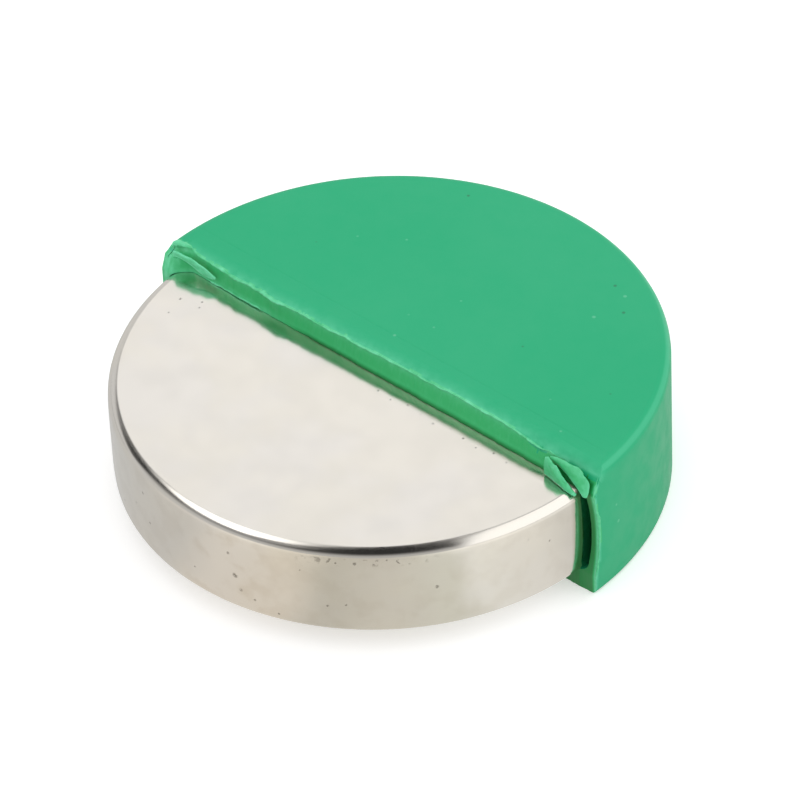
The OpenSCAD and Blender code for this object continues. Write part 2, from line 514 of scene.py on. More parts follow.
@dataclass(frozen=True)
class NickelPlating:
    """Bright plating with faint warm mottling, fine haze and a few pits.

    Attributes:
        warm: Colour where the plating is clean.
        cool: Colour of the mottling.
        dull: Colour of the stains on the rim.
        painted_cut_shade: Colour of the painted shade on the plating just in front of the cut, which also
            dims the cut's reflection there.
        pit: Colour inside pits and smudges.
        gloss: Roughness of the flat faces.
        side_gloss: Roughness of the ground rim.
        rim_blur: Width over which a face turns into the rim, in millimetres.
        stain_arc: Stretch of the rim with the most stains, in degrees round the axis.
        painted_shade_front: Where the painted shade fades out in front of the cut, along Y.
        painted_shade_left: Where it fades out at the left, along X.
        rub_arc: Stretch of the rim that rubbed against something, in degrees round the axis.
        rub_band: Heights between which it rubbed.
        relief: Depth of the ripples and pits in millimetres.
    """

    warm: Colour = (0.83, 0.79, 0.72)
    cool: Colour = (0.82, 0.785, 0.735)
    dull: Colour = (0.74, 0.69, 0.62)
    painted_cut_shade: Colour = (0.58, 0.56, 0.47)
    pit: Colour = (0.30, 0.28, 0.25)
    gloss: float = 0.16
    side_gloss: float = 0.1
    rim_blur: float = 0.05
    stain_arc: Window = ((-96.0, -82.0), (-66.0, -80.0))
    painted_shade_front: Pair = (-1.15, -0.8)
    painted_shade_left: Pair = (-9.0, -5.0)
    rub_arc: Window = ((-68.0, -56.0), (-34.0, -44.0))
    rub_band: Window = ((5.25, 5.5), (5.75, 5.65))
    relief: float = 0.0009

    def make(self, pits: list[tuple[Place, float]], rim_radius: float) -> bpy.types.Material:
        """Build the material.

        Args:
            pits: Place and radius of each pit or smudge, in millimetres.
            rim_radius: Radius beyond which a point lies on the rim, in millimetres.

        Returns:
            The material.
        """
        shader = Shader("nickel_plating")
        x, y = shader.axis("X"), shader.axis("Y")
        turn = shader.times(shader.math("ARCTAN2", y, x), 180.0 / math.pi)
        radius = shader.length(x, y)
        on_rim = shader.stretch(radius, rim_radius - self.rim_blur, rim_radius + self.rim_blur)
        mottling = shader.stretch(shader.grain(0.22, 3.0), 0.38, 0.66)
        colour = shader.blend(mottling, self.warm, self.cool)
        stains = shader.times(shader.stretch(shader.grain(0.8, 5.0), 0.42, 0.66), on_rim)
        share = shader.plus(shader.times(shader.window(turn, *self.stain_arc), 0.5), 0.4)
        colour = shader.blend(shader.times(stains, share), colour, self.dull)
        # Painted shade: the plating just in front of the cut is darkened and yellowed, which also dims the
        # cut's reflection there.
        painted_cut_shade = shader.times(
            shader.stretch(y, *self.painted_shade_front, 0.0, 0.8), shader.stretch(x, *self.painted_shade_left)
        )
        colour = shader.blend(painted_cut_shade, colour, self.painted_cut_shade)
        marks: bpy.types.NodeSocket | float = 0.0
        for place, size in pits:
            marks = shader.math("MAXIMUM", marks, shader.spot(place, size))
        broken = shader.times(marks, shader.stretch(shader.grain(7.0), 0.3, 0.6), clamp=True)
        band = shader.times(
            shader.window(shader.axis("Z"), *self.rub_band), shader.window(turn, *self.rub_arc)
        )
        rubbed = shader.times(band, shader.stretch(shader.grain(2.6, 4.0), 0.55, 0.63, 0.0, 0.8))
        broken = shader.math("MAXIMUM", broken, rubbed)
        haze = shader.stretch(shader.grain(0.6, 4.0), 0.3, 0.7, -0.01, 0.02)
        gloss = shader.stretch(on_rim, 0.0, 1.0, self.gloss, self.side_gloss)
        ripple = shader.plus(shader.grain(0.35, 2.0), shader.times(shader.grain(4.0, 3.0), 0.1))
        shader.feed(
            Metallic=1.0,
            Base_Color=shader.blend(broken, colour, self.pit),
            Roughness=shader.plus(gloss, haze),
        )
        shader.bump(shader.math("SUBTRACT", ripple, broken), self.relief)
        return shader.material


@dataclass(frozen=True)
class MouldedPlastic:
    """Satin green plastic as it left the mould, with a painted highlight along its upper edge.

    Attributes:
        base: Main colour.
        pale: Colour of the light specks and scuffs.
        dark: Colour of the dark specks.
        whitening_and_painted_light: Colour where the knife whitened the skin, and of the painted highlight
            along the upper edge.
        middle: Centre of the coat, in millimetres.
        edge: Height and distance from the centre of the upper edge, added up, in millimetres.
        edge_highlight: How much of the whitened colour the upper edge shows as a painted highlight.
        gloss: Roughness.
        specular: Strength of its reflections.
        relief: Depth of its unevenness in millimetres.
    """

    base: Colour = (0.007, 0.434, 0.191)
    pale: Colour = (0.13, 0.56, 0.33)
    dark: Colour = (0.02, 0.19, 0.09)
    whitening_and_painted_light: Colour = (0.14, 0.70, 0.42)
    middle: Pair = (0.12, 0.2)
    edge: float = 20.71
    edge_highlight: float = 0.26
    gloss: float = 0.42
    specular: float = 0.4
    relief: float = 0.008

    def make(self) -> bpy.types.Material:
        """Build the material.

        Returns:
            The material.
        """
        shader = Shader("moulded_plastic")
        flow = shader.stretch(shader.grain(0.12, 3.0), 0.35, 0.7, 0.0, 0.06)
        colour = shader.blend(flow, self.base, self.pale)
        colour = shader.blend(shader.specks(0.55, 0.065, 0.7), colour, self.pale)
        colour = shader.blend(shader.specks(0.45, 0.05, 0.75), colour, self.dark)
        patches = shader.stretch(shader.grain(2.5, 3.0), 0.25, 0.65, 0.5, 1.0)
        whitened_and_edge_highlight = shader.times(shader.whitened(), patches, clamp=True)
        x, y = (shader.math("SUBTRACT", shader.axis(letter), at) for letter, at in zip("XY", self.middle))
        # Painted highlight: the rounded upper edge is lightened towards the whitened colour, where light
        # catches it.
        corner = shader.plus(shader.length(x, y), shader.axis("Z"))
        painted_edge_highlight = shader.stretch(corner, self.edge - 0.06, self.edge - 0.005, 0.0, self.edge_highlight)
        whitened_and_edge_highlight = shader.math("MAXIMUM", whitened_and_edge_highlight, painted_edge_highlight)
        shader.feed(
            Base_Color=shader.blend(whitened_and_edge_highlight, colour, self.whitening_and_painted_light),
            Roughness=shader.stretch(shader.grain(0.9, 4.0), 0.3, 0.7, self.gloss - 0.05, self.gloss + 0.08),
            Specular_IOR_Level=self.specular,
        )
        soft = shader.plus(shader.grain(0.5, 2.0), shader.times(shader.grain(9.0, 2.0), 0.15))
        shader.bump(soft, self.relief)
        return shader.material


@dataclass(frozen=True)
class CutPlastic:
    """The same plastic where a knife went through it: deeper green, whitened where it was bent, and darker
    with painted shade where shade falls on it.

    Attributes:
        fresh: Colour of the clean cut.
        white: Colour where the plastic is stressed.
        shade_green: Darker green of the painted shade in the slit, behind the folds and at the foot of the
            cut.
        streaks: Knife lines on a millimetre.
        draw: How far the lines are drawn out along Z: their scale there.
        gloss: Roughness.
        specular: Strength of its reflections.
        relief: Depth of the knife lines in millimetres.
    """

    fresh: Colour = (0.035, 0.485, 0.155)
    white: Colour = (0.17, 0.76, 0.43)
    shade_green: Colour = (0.004, 0.19, 0.035)
    streaks: float = 6.0
    draw: float = 0.12
    gloss: float = 0.38
    specular: float = 0.35
    relief: float = 0.006

    def make(self) -> bpy.types.Material:
        """Build the material, which reads how far each point is whitened, and below 0 how much painted shade
        it gets.

        Returns:
            The material.
        """
        shader = Shader("cut_plastic")
        mark = shader.whitened()
        lines = shader.grain(self.streaks, 3.0, shader.stretched_place((1.0, 1.0, self.draw)))
        uneven = shader.times(mark, shader.stretch(shader.grain(3.0, 3.0), 0.25, 0.65, 0.55, 1.15))
        share = shader.plus(uneven, shader.stretch(lines, 0.45, 0.75, 0.0, 0.08), clamp=True)
        # Painted shade: levels below 0 darken the green towards the shade green.
        green = shader.blend(shader.times(mark, -1.0, clamp=True), self.fresh, self.shade_green)
        shader.feed(
            Base_Color=shader.blend(share, green, self.white),
            Roughness=shader.stretch(lines, 0.3, 0.7, self.gloss - 0.06, self.gloss + 0.1),
            Specular_IOR_Level=self.specular,
        )
        shader.bump(lines, self.relief)
        return shader.material


@dataclass(frozen=True)
class KnifeCut:
    """The surface that the knife left: how far each point lies along Y, in millimetres.

    Attributes:
        front: How far the cut lies in front of the disc's axis.
        lean_deg: Angle by which the cut through the roof leans back at the left.
        lean_more: How much further it leans at the right.
        lean_from: Place along X from which it leans further.
        lean_over: Length over which it comes to lean further.
        wave: Height of its waves.
        drags: Where the knife dragged the top edge forward: place along X, width and size.
        roll_width: Width of the strip along the cut where the knife pressed the roof down.
        roll_depth: How far it pressed the roof down at the cut.
        roll_more: Share by which it pressed deeper at the right end.
        disc_radius: Radius of the disc.
        floor_top: Top of the coat's floor.
        roof_base: Underside of the coat's roof.
        top: Top of the coat.
        left_step: How far the left end of the wall stands forward.
        left_swing: Length over which the cut swings forward.
        left_slants: Slants of the left corner: share of the step, depth below the top, height.
        right_recess: How far the right end of the wall is cut back.
        right_end: Length of that end.
    """

    front: float = 0.35
    lean_deg: float = 11.0
    lean_more: float = 11.5
    lean_from: float = -6.0
    lean_over: float = 11.0
    wave: float = 0.05
    drags: tuple[Trio, ...] = ((-9.3, 0.5, 0.05), (-6.6, 0.5, 0.10), (9.0, 0.5, 0.05))
    roll_width: float = 0.7
    roll_depth: float = 0.26
    roll_more: float = 0.75
    disc_radius: float = 13.0
    floor_top: float = 1.1
    roof_base: float = 6.1
    top: float = 7.4
    left_step: float = 0.75
    left_swing: float = 1.1
    left_slants: tuple[Trio, ...] = ((0.33, 0.1, 0.3), (0.47, 0.42, 0.16), (0.2, 0.55, 0.85))
    right_recess: float = 0.25
    right_end: float = 0.5

    def along(self, x: float, z: float) -> float:
        """Place of the cut along Y.

        Args:
            x: Place along X.
            z: Height.

        Returns:
            Where the cut lies along Y.
        """
        swing = ease((self.left_swing - self.disc_radius - x) / self.left_swing)
        slant = sum(share * ease((self.top - depth - z) / high) for share, depth, high in self.left_slants)
        lean = max(0.0, z - self.roof_base) * self.slope(x)
        drag = self.drag(x) * ease((z - self.roof_base - 0.3) / 0.6)
        rise = (z - self.floor_top) / (self.roof_base - self.floor_top)
        back = 0.0
        if x > self.disc_radius - self.right_end and 0.0 < rise < 1.0:
            back = self.right_recess * math.sin(math.pi * rise)
        return -self.front - self.left_step * swing * slant + lean - drag + back + self.relief(x, z)

    def slope(self, x: float) -> float:
        """How steeply the cut through the roof leans back at a place along X."""
        more = self.lean_more * ease((x - self.lean_from) / self.lean_over)
        return math.tan(math.radians(self.lean_deg + more))

    def drag(self, x: float) -> float:
        """How far the knife dragged the top edge forward at a place along X."""
        return sum(size * bell(x, place, width) for place, width, size in self.drags)

    def edge(self, x: float) -> Vector:
        """Point of the top edge of the cut at a place along X."""
        z = self.rolled(x, self.brink(x))
        return Vector((x, self.along(x, z), z))

    def brink(self, x: float) -> float:
        """About where the top edge of the cut lies along Y."""
        return -self.front + (self.top - self.roll_depth - self.roof_base) * self.slope(x) - self.drag(x)

    def rolled(self, x: float, y: float) -> float:
        """Height of the top face, lower where the knife pressed it down.

        Args:
            x: Place along X.
            y: Place along Y.

        Returns:
            The height.
        """
        away = max(0.0, self.brink(x) + self.roll_width - y) / self.roll_width
        uneven = 1.0 + 0.3 * rough(0.5 * x, 2.0, 0.0) + 0.12 * rough(2.2 * x, 7.0, 0.0)
        fade = ease((x + self.disc_radius - 0.3) / 1.2) * (1.0 + self.roll_more * ease((x - 8.6) / 1.8))
        return self.top - self.roll_depth * uneven * fade * away * away

    def relief(self, x: float, z: float) -> float:
        """Waves, steps and fine lines of the hand-held knife.

        Args:
            x: Place along X.
            z: Height.

        Returns:
            How far the cut is off its mean surface.
        """
        waves = rough(0.9 * x, 0.25 * z, 3.7)
        steps = 0.5 * rough(3.1 * x, 0.6 * z, 9.1)
        lines = 0.18 * rough(11.0 * x, 0.9 * z, 1.3)
        return self.wave * (waves + steps + lines)

    def roll_tool(self) -> bpy.types.Object:
        """Model the block that takes the top off where the knife pressed it down.

        Returns:
            The closed block.
        """
        left, right = -self.disc_radius - 0.55, self.disc_radius + 1.5
        front, back = -1.6, 1.3
        skim = 0.003
        Bench.clear()
        bpy.ops.mesh.primitive_grid_add(x_subdivisions=300, y_subdivisions=30, size=1.0)
        block = Bench.named("roll_tool")

        def place(point: Vector) -> Vector:
            """Lay a point of the unit square on the pressed top face.

            Args:
                point: Point of the square.

            Returns:
                Its place on the face.
            """
            x = left + (right - left) * (point.x + 0.5)
            y = front + (back - front) * (point.y + 0.5)
            return Vector((x, y, self.rolled(x, y) - skim))

        Bench.move_points(block, place)
        Bench.pull_block(block, (0.0, 0.0, 1.0))
        return block

    def tool(self) -> bpy.types.Object:
        """Model the block that takes away all in front of the cut.

        Returns:
            The closed block.
        """
        wide, high, below, reach = 29.0, 9.6, 1.0, 17.0
        Bench.clear()
        bpy.ops.mesh.primitive_grid_add(
            x_subdivisions=420, y_subdivisions=120, size=1.0, rotation=(math.pi / 2, 0.0, 0.0)
        )
        block = Bench.named("knife_tool")
        block.scale = (wide, high, 1.0)
        bpy.ops.object.transform_apply(location=True, rotation=True, scale=True)
        Bench.move_points(block, lambda p: Vector((p.x, 0.0, p.z + high / 2 - below)))
        Bench.pull_block(block, (0.0, -reach, 0.0))
        Bench.move_points(block, lambda p: Vector((p.x, self.along(p.x, p.z) if p.y > -1.0 else p.y, p.z)))
        return block


@dataclass
class PlatedDisc:
    """The magnet: a sintered disc with tumbled edges and bright plating.

    Attributes:
        edge_radius: Rounding of its edges in millimetres.
        crown: How far the rim is drawn in at its edges before they round off.
        crown_height: Height over which it is drawn in.
        sides: Facets round the rim.
        rim_pits: Pits and smudges of the rim: degrees round the axis, share of the height, radius.
        face_pits: Those of the upper face at the left of the cut: place along X and Y, radius.
        cut_pits: How many nicks the knife left in the upper face along the cut.
        finish: Its plating.
    """

    edge_radius: float = 0.5
    crown: float = 0.07
    crown_height: float = 1.1
    sides: int = 512
    rim_pits: tuple[Trio, ...] = (
        (-36.3, 0.53, 0.11), (-58.8, 0.33, 0.08), (-106.6, 0.72, 0.09), (-104.6, 0.41, 0.08),
        (-80.6, 0.69, 0.10), (-79.2, 0.44, 0.16), (-78.0, 0.28, 0.10), (-55.0, 0.36, 0.07),
        (-16.1, 0.78, 0.07), (-10.7, 0.64, 0.07), (-56.7, 0.87, 0.06), (-74.8, 0.21, 0.08),
        (-64.2, 0.73, 0.06), (-117.9, 0.23, 0.08), (-110.5, 0.47, 0.05), (-123.0, 0.06, 0.07),
        (-118.0, 0.05, 0.09), (-113.0, 0.07, 0.07), (-108.5, 0.05, 0.10), (-103.0, 0.06, 0.07),
        (-127.5, 0.70, 0.08), (-125.5, 0.64, 0.06), (-98.0, 0.05, 0.06), (-69.5, 0.12, 0.07),
        (-90.0, 0.30, 0.06),
    )
    face_pits: tuple[Trio, ...] = (
        (-11.1, -2.2, 0.09), (-9.9, -2.1, 0.06), (-10.8, -3.3, 0.05), (-10.1, -1.7, 0.06),
    )
    cut_pits: int = 10
    finish: NickelPlating = field(default_factory=NickelPlating)

    def build(self) -> bpy.types.Object:
        """Model the disc where the frame has it.

        Returns:
            The finished piece.
        """
        low, high = (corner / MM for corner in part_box("magnet_disc"))
        radius = (high.x - low.x) / 2
        Bench.clear()
        middle = (0.0, 0.0, (low.z + high.z) / 2)
        bpy.ops.mesh.primitive_cylinder_add(
            vertices=self.sides, radius=radius, depth=high.z - low.z, location=middle
        )
        disc = Bench.named("plated_disc")
        bpy.ops.object.transform_apply(location=True)
        with Bench.editing(disc):
            Bench.select_edges(disc, lambda a, b: abs(a.z - b.z) < 1e-4)
            bpy.ops.mesh.bevel(offset=self.edge_radius - self.crown, segments=12, profile=0.5)
            bpy.ops.mesh.select_all(action="DESELECT")
            Bench.select_edges(disc, lambda a, b: abs(a.z - b.z) > 2.0)
            bpy.ops.mesh.subdivide(number_cuts=40)
            bpy.ops.mesh.select_all(action="DESELECT")
            Bench.select_faces(disc, lambda normal: abs(normal.z) > 0.999)
            bpy.ops.mesh.inset(thickness=0.04, use_individual=True)
            bpy.ops.mesh.inset(thickness=0.6, use_individual=True)
        Bench.move_points(disc, self.crowned(low.z, high.z))
        disc.data.materials.append(self.finish.make(self.pits(radius, low.z, high.z), radius - 0.06))
        Bench.finish(disc, 30.0)
        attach(disc, BODY)
        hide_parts("magnet_disc")
        return disc

    def crowned(self, foot: float, top: float) -> Callable[[Vector], Vector]:
        """Rule that draws the rim in towards both edges, as tumbling leaves it.

        Args:
            foot: Height of the underside.
            top: Height of the upper face.

        Returns:
            Function that moves a point.
        """

        def place(point: Vector) -> Vector:
            """Draw a point of the rim in, and leave the middle of the faces alone.

            Args:
                point: Point of the disc.

            Returns:
                Its new place.
            """
            share = max(0.0, 1.0 - min(point.z - foot, top - point.z) / self.crown_height)
            reach = Vector((point.x, point.y, 0.0))
            if reach.length < 1.0:
                return point
            return point - reach.normalized() * self.crown * share * share

        return place

    def pits(self, radius: float, foot: float, top: float) -> list[tuple[Place, float]]:
        """Pits and smudges that the plating shows.

        Args:
            radius: Radius of the disc.
            foot: Height of its underside.
            top: Height of its upper face.

        Returns:
            Place and radius of each mark, in millimetres.
        """
        marks = []
        for deg, share, size in self.rim_pits:
            turn = math.radians(deg)
            place = (radius * math.cos(turn), radius * math.sin(turn), foot + share * (top - foot))
            marks.append((place, size))
        marks += [((x, y, top), size) for x, y, size in self.face_pits]
        for step in range(1, self.cut_pits + 1):
            marks.append(((0.9 * step, -1.0 - 0.12 * (step % 3), top), 0.05 + 0.02 * (step % 2)))
        return marks


@dataclass
class CutCoat:
    """The half of the moulded coat that is left.

    Attributes:
        knife: The surface of the cut.
        side: Thickness of the wall round the disc.
        shift: How far the outside sits off the disc's axis, towards +X and +Y.
        top_radius: Rounding of the upper edge.
        base_radius: Rounding of the lower edge.
        gap: Clearance round the disc.
        floor_gap: Clearance under the disc.
        roof_gap: Clearance over the disc.
        slit: Width of the slit between the disc and the right end of the wall.
        slit_deg: Angle over which the slit closes.
        swell: How far the right end of the wall bows outwards.
        swell_deg: Angle over which the bow dies away.
        crack_place: Middle of the crack in the left corner, along X and Z.
        crack_half: Half of its width and half of its height.
        crack_reach: How far the crack goes back along Y.
        scuff_place: Middle of the scuffed spot on the left corner of the top, along X and Y.
        scuff_half: Half of its length and half of its width.
        cut_depth: How close to the knife's surface a point counts as cut.
        sides: Facets round the coat.
        skin: Finish of the moulded surface.
        inside: Finish of the cut surface.
    """

    knife: KnifeCut
    side: float = 0.6
    shift: Pair = (0.12, 0.2)
    top_radius: float = 0.5
    base_radius: float = 0.3
    gap: float = 0.02
    floor_gap: float = 0.003
    roof_gap: float = 0.012
    slit: float = 0.3
    slit_deg: float = 20.0
    swell: float = 0.12
    swell_deg: float = 16.0
    crack_place: Pair = (-13.17, 6.98)
    crack_half: Pair = (0.045, 0.26)
    crack_reach: float = -0.32
    scuff_place: Pair = (-12.65, -0.2)
    scuff_half: Pair = (0.6, 0.2)
    cut_depth: float = 0.03
    sides: int = 480
    skin: MouldedPlastic = field(default_factory=MouldedPlastic)
    inside: CutPlastic = field(default_factory=CutPlastic)

    @property
    def radius(self) -> float:
        """Outer radius of the coat."""
        return self.knife.disc_radius + self.side

    @property
    def right(self) -> float:
        """Place along X of the coat's outside at its right end."""
        return self.radius + self.shift[0]

    def round_block(self, name: str, radius: float, heights: Pair, roundings: Pair) -> bpy.types.Object:
        """Model a disc with rounded edges.

        Args:
            name: Name of the object.
            radius: Radius of the disc.
            heights: Height of its underside and of its upper face.
            roundings: Rounding of the lower and of the upper edge.

        Returns:
            The object.
        """
        foot, top = heights
        Bench.clear()
        bpy.ops.mesh.primitive_cylinder_add(
            vertices=self.sides, radius=radius, depth=top - foot, location=(0.0, 0.0, (foot + top) / 2)
        )
        block = Bench.named(name)
        bpy.ops.object.transform_apply(location=True)
        for height, rounding in zip((top, foot), reversed(roundings)):
            with Bench.editing(block):
                Bench.select_edges(block, lambda a, b: abs(a.z - height) + abs(b.z - height) < 1e-3)
                bpy.ops.mesh.bevel(offset=rounding, segments=8, profile=0.5)
        with Bench.editing(block):
            Bench.select_faces(block, lambda normal: abs(normal.z) > 0.9999)
            bpy.ops.mesh.inset(thickness=0.04, use_individual=True)
        tall = 0.5 * (top - foot - sum(roundings))
        with Bench.editing(block):
            Bench.select_edges(block, lambda a, b: abs(a.z - b.z) > tall)
            bpy.ops.mesh.subdivide(number_cuts=20)
        return block

    @staticmethod
    def bowed(
        centre: Pair, radius: float, amount: float, deg: float, heights: Pair
    ) -> Callable[[Vector], Vector]:
        """Rule that bows a wall outwards at its right end.

        Args:
            centre: Centre of the wall's circle.
            radius: Radius of that circle.
            amount: How far it bows.
            deg: Angle over which the bow dies away.
            heights: Where it starts and ends along Z.

        Returns:
            Function that moves a point.
        """
        foot, top = heights
        wall, steady_deg, fullness = 0.6, 4.0, 0.7

        def place(point: Vector) -> Vector:
            """Move a point of the wall's right end outwards, and leave the others alone.

            Args:
                point: Point of the block.

            Returns:
                Its new place.
            """
            out = Vector((point.x - centre[0], point.y - centre[1], 0.0))
            if out.length < radius - wall:
                return point
            angle = math.degrees(math.atan2(out.y, out.x))
            if abs(angle) > deg * 1.5:
                return point
            fade = 1.0 - ease(max(0.0, angle + steady_deg) / deg)
            rise = min(1.0, max(0.0, (point.z - foot) / (top - foot)))
            return point + out.normalized() * amount * fade * math.sin(math.pi * rise) ** fullness

        return place

    def build(self) -> bpy.types.Object:
        """Model the coat.

        Returns:
            The finished piece.
        """
        knife = self.knife
        roundings = (self.base_radius, self.top_radius)
        coat = self.round_block("cut_coat", self.radius, (0.0, knife.top), roundings)
        Bench.move_points(coat, lambda p: p + Vector((*self.shift, 0.0)))
        wall = (self.base_radius, knife.top - self.top_radius)
        Bench.move_points(coat, self.bowed(self.shift, self.radius, self.swell, self.swell_deg, wall))
        for tool in (self.pocket(), knife.tool(), knife.roll_tool(), self.crack()):
            Bench.cut_away(coat, tool)
        coat.data.materials.clear()
        coat.data.materials.append(self.skin.make())
        coat.data.materials.append(self.inside.make())
        self.mark_cut(coat)
        Bench.finish(coat, 28.0)
        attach(coat, BODY)
        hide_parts("plastic_coat")
        return coat

    def pocket(self) -> bpy.types.Object:
        """Model the block that hollows out the disc's pocket and the slit beside it.

        Returns:
            The closed block.
        """
        knife = self.knife
        radius = knife.disc_radius + self.gap
        heights = (knife.floor_top - self.floor_gap, knife.roof_base + self.roof_gap)
        block = self.round_block("pocket_tool", radius, heights, (0.5, 0.5))
        spring = (knife.floor_top - 1.0, knife.roof_base + 1.0)
        Bench.move_points(block, self.bowed((0.0, 0.0), radius, self.slit, self.slit_deg, spring))
        return block

    def crack(self) -> bpy.types.Object:
        """Model the wedge that opens the crack in the left corner.

        Returns:
            The closed wedge.
        """
        (x, z), (half_wide, half_high) = self.crack_place, self.crack_half
        narrow, slant, front = 0.35, 0.02, -1.6
        Bench.clear()
        bpy.ops.mesh.primitive_cylinder_add(
            vertices=24, radius=1.0, depth=1.0, rotation=(math.pi / 2, 0.0, 0.0)
        )
        wedge = Bench.named("crack_tool")
        bpy.ops.object.transform_apply(rotation=True)

        def place(point: Vector) -> Vector:
            """Flatten a point of the round bar into the wedge, which is narrower at the back.

            Args:
                point: Point of the bar.

            Returns:
                Its place on the wedge.
            """
            wide, y = (narrow, self.crack_reach) if point.y > 0.0 else (1.0, front)
            return Vector((x + half_wide * wide * point.x + slant * point.z, y, z + half_high * point.z))

        Bench.move_points(wedge, place)
        Bench.face_out(wedge)
        return wedge

    def mark_cut(self, coat: bpy.types.Object) -> None:
        """Give the cut surface its own finish, and say where it is whitened and where it gets painted shade.

        Args:
            coat: The coat, still in millimetres.
        """
        knife = self.knife
        for polygon in coat.data.polygons:
            centre = polygon.center
            on_cut = abs(centre.y - knife.along(centre.x, centre.z)) < self.cut_depth
            polygon.material_index = int(on_cut or self.scuff(centre) > 0.3)
        levels = []
        for vertex in coat.data.vertices:
            x, y, z = vertex.co
            if abs(y - knife.along(x, z)) < self.cut_depth:
                levels.append(self.whitening_and_painted_light(x, z))
                continue
            near = 0.0
            if z > knife.top - 0.5 and x > 0.4 - knife.disc_radius:
                near = 0.75 * math.exp(-max(0.0, y - knife.brink(x)) / 0.2)
            levels.append(max(near, self.scuff(vertex.co)))
        Bench.whiten_and_shade(coat, levels)

    def scuff(self, point: Vector) -> float:
        """How far the skin is whitened at the left corner of the top.

        Args:
            point: Point of the skin.

        Returns:
            Its level from 0 to 1.
        """
        if point.z < self.knife.top - 0.4 or point.y > 1.0:
            return 0.0
        (x, y), (half_long, half_wide) = self.scuff_place, self.scuff_half
        away = math.hypot((point.x - x) / half_long, (point.y - y) / half_wide)
        return ease((1.35 - away + 0.5 * rough(5.0 * point.x, 5.0 * point.y, 0.0)) / 0.5)

    def whitening_and_painted_light(self, x: float, z: float) -> float:
        """How far the cut is whitened at a place, or below 0 how much painted shade it gets.

        Args:
            x: Place along X.
            z: Height.

        Returns:
            The level.
        """
        white, shade_green = self.stress(x, z), self.shade(x, z)
        return white - shade_green if shade_green > 0.05 else white

    def over_disc(self, z: float, high: float, fade: float) -> float:
        """Strip of the cut just over the disc.

        Args:
            z: Height.
            high: How high the strip reaches over the disc.
            fade: Height over which it fades out.

        Returns:
            1 in the strip and 0 outside.
        """
        above = z - self.knife.roof_base
        return ease((high - above) / fade) * ease((above + 0.1) / 0.1)

    def stress(self, x: float, z: float) -> float:
        """How far the cut is whitened: by the knife along its brink, at both ends and just over the disc at
        the left, and in a pale band a little over the disc that is painted light thrown onto the cut by the
        plating.

        Args:
            x: Place along X.
            z: Height.

        Returns:
            The level from 0 to 1.
        """
        knife = self.knife
        patch = 0.5 + 0.5 * rough(2.0 * x, 1.0, 2.0 * z)
        streaks = 0.5 * rough(7.0 * x, 3.0, 0.9 * z)
        brink = math.exp(-max(0.0, knife.top - knife.roll_depth - z) / 0.12) * (0.4 + 0.6 * patch)
        left = ease((0.8 - knife.disc_radius - x) / 0.8) * (0.35 + streaks + 0.3 * patch)
        right = 0.8 * ease((x - knife.disc_radius - 0.5) / 0.18)
        strip = self.over_disc(z, 0.45, 0.4)
        # Painted light: a paler band from about 0.1 to 0.4 mm over the disc, standing in for light that the
        # plating throws onto the cut.
        upper = 0.14 * strip * (1.0 - self.over_disc(z, 0.24, 0.2))
        lower = 0.35 * strip * ease((-5.5 - x) / 2.0)
        return min(1.0, max(brink, left, right, upper, lower))

    def shade(self, x: float, z: float) -> float:
        """Painted shade on the cut where real shade falls: behind the flaps, on the floor's cut and just over
        the disc.

        Args:
            x: Place along X.
            z: Height.

        Returns:
            The level, 0 for the plain cut.
        """
        knife = self.knife
        end = knife.disc_radius + 0.5
        # Painted shade: darker green in the slit behind the flaps, on the floor's cut beside the disc and
        # along the foot of the cut just over the disc.
        fold = ease((x - 11.1) / 0.3) * ease((7.15 - z) / 0.2) * (1.0 - ease((x - end + 0.05) / 0.2))
        floor = ease((knife.floor_top + 0.2 - z) / 0.2) * ease((end - x) / 1.2)
        foot = self.over_disc(z, 0.24, 0.2) * ease((x + 6.0) / 2.5)
        return max(0.85 * fold, 1.3 * floor, 0.9 * foot)


